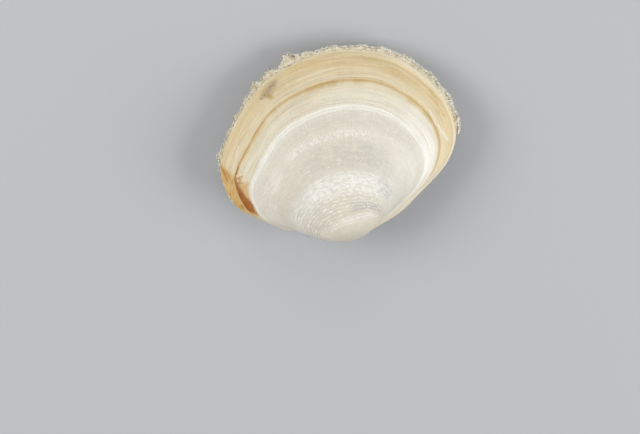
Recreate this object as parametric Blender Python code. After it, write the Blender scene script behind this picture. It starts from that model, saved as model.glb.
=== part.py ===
"""A small tellin shell, 20 mm long, with its two valves closed.

Its pieces are the left valve, the right valve, the ligament that ties them behind the beaks, and the
crust of sand that slime has stuck along their lower edge. The shell lies on its right valve as it comes
to rest: +X points to the front end, +Y to the lower (ventral) edge and +Z up. The origin is under the
middle of the shell, on the surface that it lies on.

Each valve is a wound cone, as a clam grows it. Every earlier edge of the valve is a smaller copy of
the present edge, turned about the hinge line. growth runs from near 0 at the beak to 1 at the edge.
"""
import math

import bmesh
import bpy
import numpy as np
from mathutils import Matrix, Vector

MM = 0.001

# The edge of a valve, in millimetres, in the plane where the valves meet. The beak is at (0, 0),
# +x is the front, +y the lower side, and the points run from the beak round by the hind end.
EDGE = (
    (0.0, 0.0), (-2.2, 0.60), (-5.9, 2.66), (-7.4, 3.78), (-8.47, 4.74), (-9.3, 6.7), (-9.15, 8.95),
    (-7.45, 11.6), (-4.6, 14.3), (-2.0, 15.38), (0.9, 15.82), (3.8, 15.47), (6.9, 14.15),
    (9.25, 11.65), (10.5, 8.9), (10.42, 6.6), (9.25, 4.60), (6.1, 2.42), (4.45, 1.44), (2.4, 0.70),
)

# How the valve winds
SPIRAL_RATE = 1.4           # natural logs of growth in one radian of turn: a flatter valve has more
BEAK_TURN = 1.40            # radians: the turn that the beak levels off at
BEAK_TURN_SHARPNESS = 8     # how suddenly it levels off
BACKWARD_LEAN = 2.0         # mm: how far the middle rings lie behind a straight cone's
BEAK_RISE = 0.5             # mm: how far down the shell they lie, likewise
HINGE_TUCK = 0.35           # mm: the hinge line is this far under the beak
HINGE_TUCK_WIDTH = 1.6      # mm
BEAK_GROWTH = 0.03          # the smallest ring
HIND_BEND = 0.35            # mm: the hind end bends towards the right valve
HIND_BEND_START = -5.0      # mm: the x where that bend starts
HIND_BEND_LENGTH = 4.5      # mm

# Two halts in growth stand as low ledges
LEDGES = (0.73, 0.85)
LEDGE_HEIGHT = 0.07         # mm, in the plane of the ring
LEDGE_RUN = 0.05            # the share of growth over which the shell swells up to a ledge

# The wall
WALL = 0.95                 # mm, measured in the plane of the edge: about 0.55 mm of shell
WALL_AT_BEAK = 0.4          # share of that left at the top of the hollow
HINGE_PLATE = 0.45          # mm of extra wall along the hinge
HINGE_PLATE_WIDTH = 4.0     # mm
HOLLOW_GROWTH = 0.34        # the ring where the hollow's roof closes
SEAM = 0.06                 # mm between the two closed valves

# The groove behind the beaks and the ligament in it
GROOVE_DEPTH = 0.42         # mm
GROOVE_HALF_WIDTH = 1.0     # mm, across the seam
GROOVE_START = -0.3         # mm: x at its front end
GROOVE_END = -5.3           # mm: x at its hind end
GROOVE_RUN_OUT = 0.3        # share of its length over which each end deepens
LIGAMENT_START = -0.8       # mm: x at its front end
LIGAMENT_END = -3.9         # mm: x at its hind end
LIGAMENT_HALF_WIDTH = 0.20  # mm
LIGAMENT_HALF_HEIGHT = 0.12  # mm
LIGAMENT_CLEARANCE = 0.13   # mm to the groove's floor

# The crust of sand, placed by the distance along the edge from the beak, by the hind end, in mm
CRUST_START = 13.2
CRUST_END = 42.3
CRUST_REACH = 0.30          # mm out from the edge
CRUST_TOP = 0.12            # mm above the seam
CRUST_DEPTH = 0.42          # mm below the seam
CRUST_TUCK = 0.30           # mm in under the right valve's rim
CRUST_CLEARANCE = 0.05      # mm to both valves
CRUST_STATIONS = 96
# Lumps on it: place along the edge, reach beyond the plain crust, half width, all in mm
LUMPS = (
    (14.7, 0.22, 0.35), (16.9, 0.10, 0.2), (18.2, 0.18, 0.22), (19.9, 0.14, 0.25), (21.2, 0.36, 0.36),
    (22.7, 0.30, 0.55), (24.75, 0.86, 0.62), (26.1, 0.30, 0.4), (28.2, 0.14, 0.9), (30.6, 0.12, 0.8),
    (32.4, 0.22, 0.5), (34.6, 0.20, 0.9), (36.9, 0.20, 0.8), (39.0, 0.16, 0.7), (41.0, 0.14, 0.6),
)
CRUST_ROUGHNESS = 0.035     # mm

# How it lies: the closed shell leans until its centre of mass is over the point it stands on
LEAN_TO_EDGE = 12.0         # degrees: the lower edge comes down
LEAN_TO_FRONT = 1.2         # degrees: the front end comes down
LOWEST_POINT = 5.24         # mm: how far the right valve then reaches below the beak
REST_FLAT = 0.12            # mm taken off that point, which leaves a flat 3 mm across
BEAK_X = -0.685             # mm: the beak's place in the part's frame, which centres the shell
BEAK_Y = -8.13

# The fineness of the meshes
COLUMNS = 66                # points round each ring
HINGE_DETAIL = 1.2          # how much closer together they are near the hinge
HINGE_DETAIL_REACH = 5.0    # mm from the beak
OUTER_RINGS = 17
INNER_RINGS = 7
CURVE_STEPS = 60            # places worked out between two points of the outline
LOW_SIDE = 3.0              # mm: the part of the edge with y below this is the hinge's side


def clear_objects():
    for old in list(bpy.data.objects):
        bpy.data.objects.remove(old, do_unlink=True)


def closed_curve(points, count):
    """A smooth closed curve through the points, as count places along it."""
    knots = np.asarray(points, float)
    size = len(knots)
    following = np.roll(knots, -1, axis=0)
    span = np.linalg.norm(following - knots, axis=1)
    before = np.roll(span, 1)
    system = np.zeros((size, size))
    slopes = (following - knots) / span[:, None]
    for i in range(size):
        system[i, i - 1] += before[i]
        system[i, i] += 2 * (before[i] + span[i])
        system[i, (i + 1) % size] += span[i]
    bends = np.linalg.solve(system, 6 * (slopes - np.roll(slopes, 1, axis=0)))
    next_bends = np.roll(bends, -1, axis=0)
    fine = []
    for i in range(size):
        for part in np.arange(CURVE_STEPS) / CURVE_STEPS:
            a, b = 1 - part, part
            curve = a * knots[i] + b * following[i]
            curve = curve + span[i] ** 2 / 6 * ((a ** 3 - a) * bends[i] + (b ** 3 - b) * next_bends[i])
            fine.append(curve)
    return spaced_loop(np.array(fine), count)


def spaced_loop(loop, count):
    """Count places round a loop: even, but closer together near the hinge."""
    closed = np.vstack([loop, loop[:1]])
    steps = np.linalg.norm(np.diff(closed, axis=0), axis=1)
    from_beak = np.linalg.norm(loop, axis=1)
    steps *= 1 + HINGE_DETAIL * np.exp(-(from_beak / HINGE_DETAIL_REACH) ** 4)
    length = np.concatenate([[0], np.cumsum(steps)])
    places = np.linspace(0, length[-1], count, endpoint=False)
    return np.stack([np.interp(places, length, closed[:, axis]) for axis in (0, 1)], axis=1)


def inward_normals(loop):
    """Unit normals in the plane that point into a loop."""
    along = np.roll(loop, -1, axis=0) - np.roll(loop, 1, axis=0)
    normals = np.stack([along[:, 1], -along[:, 0]], axis=1)
    normals /= np.linalg.norm(normals, axis=1)[:, None]
    middle = loop.mean(axis=0)
    pointing_in = ((middle - loop) * normals).sum(axis=1).mean() > 0
    return normals if pointing_in else -normals


def smooth_step(value):
    value = np.clip(value, 0.0, 1.0)
    return value * value * (3 - 2 * value)


def edge_loop(count):
    """The valve's edge, with the hinge line tucked in under the beak."""
    loop = closed_curve(EDGE, count)
    near_hinge = np.exp(-(loop[:, 0] / HINGE_TUCK_WIDTH) ** 2) * (loop[:, 1] < LOW_SIDE)
    loop[:, 1] += HINGE_TUCK * near_hinge
    return loop


def inner_edge_loop(loop, growth):
    """The hollow's edge beside a ring of the given growth, before that ring is scaled."""
    hinge_side = np.clip(1 - loop[:, 1] / LOW_SIDE, 0, 1)
    plate = HINGE_PLATE * np.exp(-(loop[:, 0] / HINGE_PLATE_WIDTH) ** 2) * hinge_side
    thickness = (WALL + plate) * (WALL_AT_BEAK + (1 - WALL_AT_BEAK) * growth)
    return loop * growth + inward_normals(loop) * thickness[:, None]


def turn(growth):
    """The angle that the ring of a given growth has turned up from the seam."""
    free = -math.log(growth) / SPIRAL_RATE
    return free / (1 + (free / BEAK_TURN) ** BEAK_TURN_SHARPNESS) ** (1 / BEAK_TURN_SHARPNESS)


def ledge_lift(growth):
    """How far out a ring stands because the shell swells towards each ledge and drops after it."""
    lift = 0.0
    for ledge in LEDGES:
        if growth <= ledge:
            lift += LEDGE_HEIGHT * math.exp(-(ledge - growth) / LEDGE_RUN)
    return lift


def wind(flat_ring, growth):
    """Turns a scaled ring about the hinge line and leans it back."""
    angle = turn(growth)
    x = flat_ring[:, 0] - BACKWARD_LEAN * growth * (1 - growth)
    y = flat_ring[:, 1] * math.cos(angle) + BEAK_RISE * growth * (1 - growth)
    z = flat_ring[:, 1] * math.sin(angle) + SEAM / 2
    return np.stack([x, y, z], axis=1)


def hind_bend(x):
    """How far up the hind end is at x: below 0, towards the right valve."""
    return -HIND_BEND * smooth_step((HIND_BEND_START - x) / HIND_BEND_LENGTH)


def groove_share(x):
    """1 in the middle of the groove behind the beaks, falling to 0 at its ends."""
    part = (x - GROOVE_START) / (GROOVE_END - GROOVE_START)
    return smooth_step(part / GROOVE_RUN_OUT) * smooth_step((1 - part) / GROOVE_RUN_OUT)


def cut_groove(ring):
    near_seam = 1 - smooth_step(ring[:, 2] / GROOVE_HALF_WIDTH)
    hinge_side = ring[:, 1] < LOW_SIDE
    ring[:, 1] += GROOVE_DEPTH * groove_share(ring[:, 0]) * near_seam * hinge_side
    return ring


def outer_ring(loop, growth):
    away_from_hinge = smooth_step(loop[:, 1] / LOW_SIDE)
    lift = ledge_lift(growth) * away_from_hinge
    return cut_groove(wind(loop * growth - inward_normals(loop) * lift[:, None], growth))


def inner_ring(loop, growth):
    return wind(inner_edge_loop(loop, growth), growth)


def outer_growths():
    """Rings from the beak to the edge, closer together at the beak, with two at each ledge."""
    closer_at_beak = 1.15
    room = 0.02
    growths = []
    for i in range(OUTER_RINGS + 1):
        growth = BEAK_GROWTH + (1 - BEAK_GROWTH) * (i / OUTER_RINGS) ** closer_at_beak
        if all(abs(growth - ledge) > room for ledge in LEDGES):
            growths.append(growth)
    for ledge in LEDGES:
        growths += [ledge - 0.1 * room, ledge + 0.2 * room]
    return sorted(growths)


def inner_growths():
    return [1 - (1 - HOLLOW_GROWTH) * i / INNER_RINGS for i in range(INNER_RINGS + 1)]


def place_in_part(points, side):
    """From the shell's own axes to the part's. side is 1 for the left valve and -1 for the right."""
    points = np.array(points)
    points[:, 2] = points[:, 2] * side + hind_bend(points[:, 0])
    lean = Matrix.Rotation(math.radians(-LEAN_TO_EDGE), 3, 'X')
    tip = Matrix.Rotation(math.radians(LEAN_TO_FRONT), 3, 'Y')
    turned = points @ np.array(tip @ lean).T
    return (turned + np.array((BEAK_X, BEAK_Y, LOWEST_POINT - REST_FLAT))) * MM


def add_loft(bm, rings):
    """Skins a list of closed rings, and fans each end to its middle."""
    rows = [[bm.verts.new(point) for point in ring] for ring in rings]
    size = len(rows[0])
    for row, following in zip(rows, rows[1:]):
        for i in range(size):
            j = (i + 1) % size
            bm.faces.new((row[i], row[j], following[j], following[i]))
    for row in (rows[0], rows[-1]):
        middle = bm.verts.new(sum((vert.co for vert in row), Vector()) / size)
        for i in range(size):
            bm.faces.new((row[i], row[(i + 1) % size], middle))


def finish_object(name, bm, material, sharp_degrees):
    bmesh.ops.triangulate(bm, faces=bm.faces)
    bmesh.ops.recalc_face_normals(bm, faces=bm.faces)
    mesh = bpy.data.meshes.new(name)
    bm.to_mesh(mesh)
    bm.free()
    mesh.shade_smooth()
    mesh.set_sharp_from_angle(angle=math.radians(sharp_degrees))
    mesh.materials.append(material)
    made = bpy.data.objects.new(name, mesh)
    bpy.context.scene.collection.objects.link(made)
    return made


def plain_material(name, colour, roughness):
    material = bpy.data.materials.new(name)
    material.use_nodes = True
    shader = material.node_tree.nodes["Principled BSDF"]
    shader.inputs["Base Color"].default_value = (*colour, 1.0)
    shader.inputs["Roughness"].default_value = roughness
    shader.inputs["Metallic"].default_value = 0.0
    return material


def wear_flat(bm):
    """Cuts the lowest point of the right valve off level, and closes the cut with one flat face."""
    cut = bmesh.ops.bisect_plane(bm, geom=bm.verts[:] + bm.edges[:] + bm.faces[:], dist=1e-9,
                                 plane_co=(0, 0, 0), plane_no=(0, 0, -1), clear_outer=True)
    rim = [item for item in cut["geom_cut"] if isinstance(item, bmesh.types.BMEdge)]
    bmesh.ops.contextual_create(bm, geom=rim)


def make_valve(name, side, material):
    loop = edge_loop(COLUMNS)
    rings = [outer_ring(loop, growth) for growth in outer_growths()]
    rings += [inner_ring(loop, growth) for growth in inner_growths()]
    bm = bmesh.new()
    add_loft(bm, [place_in_part(ring, side) for ring in rings])
    if side < 0:
        wear_flat(bm)
    return finish_object(name, bm, material, 40)


def groove_floor(places):
    """The shell's y at the bottom of the groove, at the seam, for each x in places."""
    loop = edge_loop(1200)
    hinge_side = loop[loop[:, 1] < LOW_SIDE]
    order = np.argsort(hinge_side[:, 0])
    edge_y = np.interp(places, hinge_side[order, 0], hinge_side[order, 1])
    return edge_y + GROOVE_DEPTH * groove_share(places)


def make_ligament(material):
    """A tapered cord in the groove, just below its lips."""
    stations = 12
    around = 8
    blunt = 0.45
    places = np.linspace(LIGAMENT_START, LIGAMENT_END, stations)
    parts = np.linspace(0.03, 0.97, stations)
    rings = []
    for x, part, floor in zip(places, parts, groove_floor(places)):
        swell = math.sin(math.pi * part) ** blunt
        half_height = LIGAMENT_HALF_HEIGHT * swell
        half_width = LIGAMENT_HALF_WIDTH * swell
        centre_y = floor - LIGAMENT_CLEARANCE - half_height
        angles = [2 * math.pi * j / around for j in range(around)]
        ring = [(x, centre_y + half_height * math.cos(a), half_width * math.sin(a)) for a in angles]
        rings.append(place_in_part(ring, 1))
    bm = bmesh.new()
    add_loft(bm, rings)
    return finish_object("ligament", bm, material, 60)


def crust_reach(along):
    """How far out the crust goes, at a distance along the edge."""
    reach = CRUST_REACH
    for place, height, half_width in LUMPS:
        reach += height * math.exp(-((along - place) / half_width) ** 2)
    return reach


def rim_slope(point, inward):
    """How steeply a valve rises inward from its edge at a point of the edge."""
    run = -((point[0] + BACKWARD_LEAN) * inward[0] + (point[1] - BEAK_RISE) * inward[1])
    return point[1] / SPIRAL_RATE / run


def crust_outline(point, inward, along):
    """A section's free side and its shell side, each as places out from the edge and up from the seam."""
    reach = crust_reach(along)
    size = reach / CRUST_REACH
    top = CRUST_TOP * (0.7 + 0.4 * size)
    depth = CRUST_DEPTH * (0.75 + 0.25 * size)
    rim_drop = CRUST_TUCK * rim_slope(point, inward)
    gap = CRUST_CLEARANCE
    free_side = [
        (0.62 * reach, top), (reach, -0.05 * depth), (0.95 * reach, -0.55 * depth), (0.45 * reach, -depth),
        (-0.5 * CRUST_TUCK, -0.95 * depth - 0.4 * rim_drop),
    ]
    shell_side = [
        (-CRUST_TUCK, -rim_drop - 3.2 * gap), (-0.5 * CRUST_TUCK, -0.5 * rim_drop - 1.9 * gap),
        (0.9 * gap, -1.2 * gap), (1.4 * gap, 0.8 * gap), (2.0 * gap, 0.8 * top),
    ]
    return free_side, shell_side


def ripple(along, k):
    """Small unevenness of the crust's free side: out from the edge and up."""
    wave = math.sin(9.7 * along) + math.sin(23.1 * along + 1.3)
    out = wave * math.cos(2.1 * k + 5.3 * along) + 0.5 * math.sin(31.0 * along + k)
    up = 0.6 * wave * math.sin(1.7 * k + 7.9 * along)
    return CRUST_ROUGHNESS * np.array((out, up))


def crust_section(point, inward, along, size):
    """One closed section of the crust, outside the seam and under the right valve's rim."""
    free_side, shell_side = crust_outline(point, inward, along)
    foot = np.array(shell_side[-2])
    section = []
    for k, place in enumerate(free_side):
        rough = np.array(place) + ripple(along, k)
        section.append(foot + (rough - foot) * size)
    section += shell_side
    return [(*(point - inward * out), up) for out, up in section]


def make_sand_crust(material):
    loop = edge_loop(2200)
    inward = inward_normals(loop)
    length = np.concatenate([[0], np.cumsum(np.linalg.norm(np.diff(loop, axis=0), axis=1))])
    end_taper = 3.5
    smallest = 0.25
    rings = []
    for along in np.linspace(CRUST_START, CRUST_END, CRUST_STATIONS):
        nearest = int(np.argmin(np.abs(length - along)))
        from_end = min(along - CRUST_START, CRUST_END - along)
        size = min(1.0, smallest + from_end / end_taper)
        section = crust_section(loop[nearest], inward[nearest], along, size)
        rings.append(place_in_part(section, 1))
    bm = bmesh.new()
    add_loft(bm, rings)
    return finish_object("sand_crust", bm, material, 25)


def build():
    clear_objects()
    shell = plain_material("shell", (0.76, 0.68, 0.52), 0.32)
    fibre = plain_material("ligament", (0.16, 0.08, 0.035), 0.5)
    sand = plain_material("sand", (0.60, 0.55, 0.42), 0.8)
    make_valve("left_valve", 1, shell)
    make_valve("right_valve", -1, shell)
    make_ligament(fibre)
    make_sand_crust(sand)


build()
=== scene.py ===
"""The look of a small tellin shell: two closed valves with growth rings, the ligament and stuck sand."""
import math

import bpy
import numpy as np
from mathutils import Matrix, Vector


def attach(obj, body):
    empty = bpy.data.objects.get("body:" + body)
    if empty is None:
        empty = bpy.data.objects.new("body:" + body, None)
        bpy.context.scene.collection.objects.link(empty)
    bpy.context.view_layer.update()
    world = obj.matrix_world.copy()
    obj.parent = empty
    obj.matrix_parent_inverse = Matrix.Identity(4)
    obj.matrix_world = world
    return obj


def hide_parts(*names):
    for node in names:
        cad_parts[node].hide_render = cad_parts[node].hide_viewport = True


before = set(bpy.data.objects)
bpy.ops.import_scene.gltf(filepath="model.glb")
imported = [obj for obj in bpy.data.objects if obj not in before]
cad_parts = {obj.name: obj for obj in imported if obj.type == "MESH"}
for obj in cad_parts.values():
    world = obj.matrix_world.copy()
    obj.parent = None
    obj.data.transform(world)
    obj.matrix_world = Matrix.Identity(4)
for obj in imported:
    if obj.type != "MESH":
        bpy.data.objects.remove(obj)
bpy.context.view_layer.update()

MM = 0.001

# The form of the solids, repeated here in the same values, in millimetres where it is a length
EDGE = (
    (0.0, 0.0), (-2.2, 0.6), (-5.9, 2.66), (-7.4, 3.78), (-8.47, 4.74), (-9.3, 6.7), (-9.15, 8.95),
    (-7.45, 11.6), (-4.6, 14.3), (-2.0, 15.38), (0.9, 15.82), (3.8, 15.47), (6.9, 14.15),
    (9.25, 11.65), (10.5, 8.9), (10.42, 6.6), (9.25, 4.6), (6.1, 2.42), (4.45, 1.44), (2.4, 0.7),
)
SPIRAL_RATE = 1.4
BEAK_TURN = 1.4
BEAK_TURN_SHARPNESS = 8
BACKWARD_LEAN = 2.0
BEAK_RISE = 0.5
HINGE_TUCK = 0.35
HINGE_TUCK_WIDTH = 1.6
BEAK_GROWTH = 0.03
HIND_BEND = 0.35
HIND_BEND_START = -5.0
HIND_BEND_LENGTH = 4.5
WALL = 0.95  # in the plane of the edge
WALL_AT_BEAK = 0.4  # share of that at the top of the hollow
SEAM = 0.06
GROOVE_DEPTH = 0.42
GROOVE_HALF_WIDTH = 1.0
GROOVE_START = -0.3
GROOVE_END = -5.3
GROOVE_RUN_OUT = 0.3
LIGAMENT_START = -0.8
LIGAMENT_END = -3.9
LIGAMENT_HALF_WIDTH = 0.2
LIGAMENT_HALF_HEIGHT = 0.12
LIGAMENT_CLEARANCE = 0.13
CRUST_START = 13.2
CRUST_END = 42.3
CRUST_REACH = 0.3
CRUST_DEPTH = 0.42
CRUST_TUCK = 0.3
# Clumps in the crust: distance round the edge, height and half width
LUMPS = (
    (14.7, 0.22, 0.35), (16.9, 0.1, 0.2), (18.2, 0.18, 0.22), (19.9, 0.14, 0.25), (21.2, 0.36, 0.36),
    (22.7, 0.3, 0.55), (24.75, 0.86, 0.62), (26.1, 0.3, 0.4), (28.2, 0.14, 0.9), (30.6, 0.12, 0.8),
    (32.4, 0.22, 0.5), (34.6, 0.2, 0.9), (36.9, 0.2, 0.8), (39.0, 0.16, 0.7), (41.0, 0.14, 0.6),
)
LEAN_TO_EDGE = 12.0
LEAN_TO_FRONT = 1.2
LOWEST_POINT = 5.24
REST_FLAT = 0.12
BEAK_PLACE = (-0.685, -8.13, LOWEST_POINT - REST_FLAT)
LOW_SIDE = 3.0
CURVE_STEPS = 60

# The shown meshes
COLUMNS = 290
RINGS = 310
INNER_RINGS = 6
HOLLOW_GROWTH = 0.34
INSIDE_GROWTH = 1.02  # the growth that the inner rings are coloured by, past the rim's
PLAN_SIZE = 20.0  # mm to one unit of the plan layer
VALVE_MIDDLE = (0.3, 7.0, 0.0)  # the outer surface faces away from here
LIGAMENT_STATIONS = 90
LIGAMENT_COLUMNS = 24
LIGAMENT_BLUNTNESS = 0.45
SLIME_STATIONS = 620

# The relief of the growth lines: heights in mm, the rest in growth
FINE_LINES = 0.0055
BROAD_LINES = 0.006
YOUNG_RIBS = 0.0085
RIB_PITCH = 0.0175
HALTS = ((0.735, 0.03, 0.03), (0.857, 0.034, 0.026), (0.955, 0.012, 0.016))  # place, height, run up
HALT_DIP = 0.3  # the dip after a halt, as a share of its height
HALT_DIP_RUN = 0.006

# The sand. Distances round the edge are from the beak, in mm
CRUST_GROUPS = (
    # count, start, end, spread, smallest, largest
    (300, 13.4, 20.4, 1.0, 0.03, 0.08), (200, 13.9, 15.4, 1.0, 0.04, 0.09),
    (240, 20.4, 23.8, 1.0, 0.04, 0.1), (260, 23.9, 26.8, 1.0, 0.045, 0.11),
    (1050, 24.0, 33.5, 0.95, 0.035, 0.09), (1900, 32.0, 42.2, 1.0, 0.045, 0.11),
)
RIM_GROUPS = ((150, 20.0, 31.0, 0.03, 0.06), (170, 31.0, 41.8, 0.03, 0.07))  # without a spread
STRAY_GRAINS = ((3.6, 3), (2.7, 3), (10.6, 9), (11.1, 10), (12.2, 5), (45.0, 3), (46.6, 2))  # start, count
STRAY_SPREAD = 0.25
STRAY_SIZES = (0.03, 0.075)
FEW_LARGE = 1.6  # above 1, small grains are commoner than large ones
TAN_SAND_END = 27.5
TAN_SAND_FADE = 2.0
BRISTLE_GROUPS = (
    # count, start, end, spread, share of the depth
    (620, 25.6, 33.8, 0.75, 0.7), (360, 33.8, 42.2, 0.75, 0.7),
    (140, 13.6, 15.6, 0.675, 0.7), (120, 15.6, 23.5, 0.6, 0.7),
)
BRISTLE_SPREAD = 0.45  # how far they turn from straight out
SHELL_MIDDLE = (0.5, 7.5, 0.0)  # the bristles point away from here
SLIME_FREE_SIDE = slice(3, 10)
SLIME_ROUGHNESS = 0.022
GRAIN_SEED = 11
BRISTLE_SEED = 23
SLIME_SEED = 5

# The stage: lengths in metres, lamps in watts
FLOOR_SIZE = 1.2
FLOOR_GREY = (0.5, 0.51, 0.53)
ROOM_LIGHT = 0.38
SOFTBOX_SIZE = 0.2
SOFTBOXES = (
    ("left_softbox", (-0.22, 0.12, 0.23), 0.55),
    ("right_softbox", (0.25, -0.12, 0.2), 0.65),
    ("far_softbox", (0.02, 0.25, 0.24), 0.15),
)

# The photograph's framing
PHOTO_WIDTH = 640
PIXELS_PER_MM = 12.06
SHELL_TURN = 14.0  # degrees: the shell's long axis in the picture
CAMERA_DISTANCE = 300.0  # mm
SENSOR_WIDTH = 36.0  # mm
BEAK_PIXEL = (353.5, 241.0)
MIDDLE_PIXEL = (320.0, 217.0)


def smooth_step(value):
    value = np.clip(value, 0.0, 1.0)
    return value * value * (3 - 2 * value)


# The outline and the wound surface

def closed_curve(points, count):
    knots = np.asarray(points, float)
    size = len(knots)
    following = np.roll(knots, -1, axis=0)
    span = np.linalg.norm(following - knots, axis=1)
    before = np.roll(span, 1)
    system = np.zeros((size, size))
    slopes = (following - knots) / span[:, None]
    for i in range(size):
        system[i, i - 1] += before[i]
        system[i, i] += 2 * (before[i] + span[i])
        system[i, (i + 1) % size] += span[i]
    bends = np.linalg.solve(system, 6 * (slopes - np.roll(slopes, 1, axis=0)))
    next_bends = np.roll(bends, -1, axis=0)
    fine = []
    for i in range(size):
        for part in np.arange(CURVE_STEPS) / CURVE_STEPS:
            a, b = 1 - part, part
            curve = a * knots[i] + b * following[i]
            curve = curve + span[i] ** 2 / 6 * ((a ** 3 - a) * bends[i] + (b ** 3 - b) * next_bends[i])
            fine.append(curve)
    fine = np.array(fine)
    closed = np.vstack([fine, fine[:1]])
    length = np.concatenate([[0], np.cumsum(np.linalg.norm(np.diff(closed, axis=0), axis=1))])
    places = np.linspace(0, length[-1], count, endpoint=False)
    return np.stack([np.interp(places, length, closed[:, axis]) for axis in (0, 1)], axis=1)


def inward_normals(loop):
    along = np.roll(loop, -1, axis=0) - np.roll(loop, 1, axis=0)
    normals = np.stack([along[:, 1], -along[:, 0]], axis=1)
    normals /= np.linalg.norm(normals, axis=1)[:, None]
    pointing_in = ((loop.mean(axis=0) - loop) * normals).sum(axis=1).mean() > 0
    return normals if pointing_in else -normals


def edge_loop(count):
    loop = closed_curve(EDGE, count)
    near_hinge = np.exp(-(loop[:, 0] / HINGE_TUCK_WIDTH) ** 2) * (loop[:, 1] < LOW_SIDE)
    loop[:, 1] += HINGE_TUCK * near_hinge
    return loop


def turn(growth):
    free = -np.log(growth) / SPIRAL_RATE
    return free / (1 + (free / BEAK_TURN) ** BEAK_TURN_SHARPNESS) ** (1 / BEAK_TURN_SHARPNESS)


def groove_share(x):
    part = (x - GROOVE_START) / (GROOVE_END - GROOVE_START)
    return smooth_step(part / GROOVE_RUN_OUT) * smooth_step((1 - part) / GROOVE_RUN_OUT)


def wind(flat, growth):
    """Flat rings, shaped rings by columns by 2, to the shell's own axes."""
    angle = turn(growth)[:, None]
    x = flat[..., 0] - BACKWARD_LEAN * (growth * (1 - growth))[:, None]
    y = flat[..., 1] * np.cos(angle) + BEAK_RISE * (growth * (1 - growth))[:, None]
    z = flat[..., 1] * np.sin(angle) + SEAM / 2
    return np.stack([x, y, z], axis=-1)


def cut_groove(grid):
    near_seam = 1 - smooth_step(grid[..., 2] / GROOVE_HALF_WIDTH)
    grid[..., 1] += GROOVE_DEPTH * groove_share(grid[..., 0]) * near_seam * (grid[..., 1] < LOW_SIDE)
    return grid


def place_in_part(points, side):
    """From the shell's own axes, in mm, to the part's frame, in metres."""
    points = np.array(points, float)
    bend = -HIND_BEND * smooth_step((HIND_BEND_START - points[..., 0]) / HIND_BEND_LENGTH)
    points[..., 2] = points[..., 2] * side + bend
    return (points @ shell_axes().T + np.array(BEAK_PLACE)) * MM


def shell_axes():
    lean = Matrix.Rotation(math.radians(-LEAN_TO_EDGE), 3, 'X')
    tip = Matrix.Rotation(math.radians(LEAN_TO_FRONT), 3, 'Y')
    return np.array(tip @ lean)


# Relief of the growth lines

def rough_line(seed, count):
    """A smooth random line between -1 and 1, read by its place from 0 to 1."""
    values = np.random.RandomState(seed).uniform(-1.0, 1.0, count + 1)

    def read(place):
        at = np.clip(place, 0, 1) * count
        k = np.clip(at.astype(int), 0, count - 1)
        part = smooth_step(at - k)
        return values[k] * (1 - part) + values[k + 1] * part
    return read


def growth_relief(growth, around, seed):
    """How far the surface stands out, in mm, from the growth lines and halts."""
    wobble = 0.004 * rough_line(seed + 1, 9)(around) + 0.002 * rough_line(seed + 2, 31)(around)
    at = growth + wobble
    fine = rough_line(seed + 3, 190)(at)
    broad = rough_line(seed + 4, 46)(at)
    strong = 0.5 + 0.5 * rough_line(seed + 5, 24)(np.mod(around * 1.7 + growth * 0.9, 1.0))
    young = smooth_step((0.47 - growth) / 0.06) * smooth_step((growth - 0.2) / 0.05)
    ribs = np.sin(2 * math.pi * at / RIB_PITCH)
    hind = smooth_step((0.52 - around) / 0.16)
    relief = FINE_LINES * fine * (0.5 + 0.5 * strong) + BROAD_LINES * broad
    relief = relief + YOUNG_RIBS * ribs * young * (0.35 + 0.65 * hind)
    for halt, height, run in HALTS:
        relief = relief + height * np.exp(-(halt - at) / run) * (at <= halt)
        relief = relief - HALT_DIP * height * np.exp(-(at - halt) / HALT_DIP_RUN) * (at > halt)
    return relief * smooth_step(growth / 0.08)


def surface_normals(grid):
    round_way = np.roll(grid, -1, axis=1) - np.roll(grid, 1, axis=1)
    out_way = np.gradient(grid, axis=0)
    normals = np.cross(round_way, out_way)
    length = np.linalg.norm(normals, axis=-1, keepdims=True)
    normals = normals / np.maximum(length, 1e-12)
    outward = np.sign(((grid - np.array(VALVE_MIDDLE)) * normals).sum(axis=-1).mean())
    return normals * outward


# Meshes from arrays

def add_object(name, data):
    made = bpy.data.objects.new(name, data)
    bpy.context.scene.collection.objects.link(made)
    return made


def make_mesh(name, places, corners, layers, material, smooth=True):
    """A mesh of triangles. layers maps a UV layer's name to two numbers for each triangle's corner."""
    mesh = bpy.data.meshes.new(name)
    mesh.vertices.add(len(places))
    mesh.vertices.foreach_set("co", np.asarray(places, np.float32).ravel())
    mesh.loops.add(corners.size)
    mesh.loops.foreach_set("vertex_index", corners.astype(np.int32).ravel())
    mesh.polygons.add(len(corners))
    mesh.polygons.foreach_set("loop_start", np.arange(0, corners.size, 3, dtype=np.int32))
    mesh.update(calc_edges=True)
    for layer, values in layers.items():
        made = mesh.uv_layers.new(name=layer)
        made.data.foreach_set("uv", np.asarray(values, np.float32).ravel())
    mesh.validate()
    if smooth:
        mesh.shade_smooth()
    else:
        mesh.shade_flat()
    mesh.materials.append(material)
    return add_object(name, mesh)


def turned_outward(places, corners):
    """The triangles, turned over if they face the inside."""
    a, b, c = (places[corners[:, k]] for k in range(3))
    inside_out = (a * np.cross(b, c)).sum() < 0
    return corners[:, ::-1] if inside_out else corners


def closed_tube(rings):
    """The points and triangles of rings joined in a row, with a point that closes each end."""
    rows, columns = rings.shape[:2]
    ends = np.stack([rings[0].mean(axis=0), rings[-1].mean(axis=0)])
    points = np.concatenate([rings.reshape(-1, 3), ends])
    k = np.arange(columns)
    following = (k + 1) % columns
    corners = []
    for row in range(rows - 1):
        low = row * columns
        high = low + columns
        corners.append(np.stack([low + k, low + following, high + following], axis=1))
        corners.append(np.stack([low + k, high + following, high + k], axis=1))
    last = (rows - 1) * columns
    first_end = np.full(columns, len(points) - 2)
    corners.append(np.stack([following, k, first_end], axis=1))
    corners.append(np.stack([last + k, last + following, first_end + 1], axis=1))
    return points, np.concatenate(corners)


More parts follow.
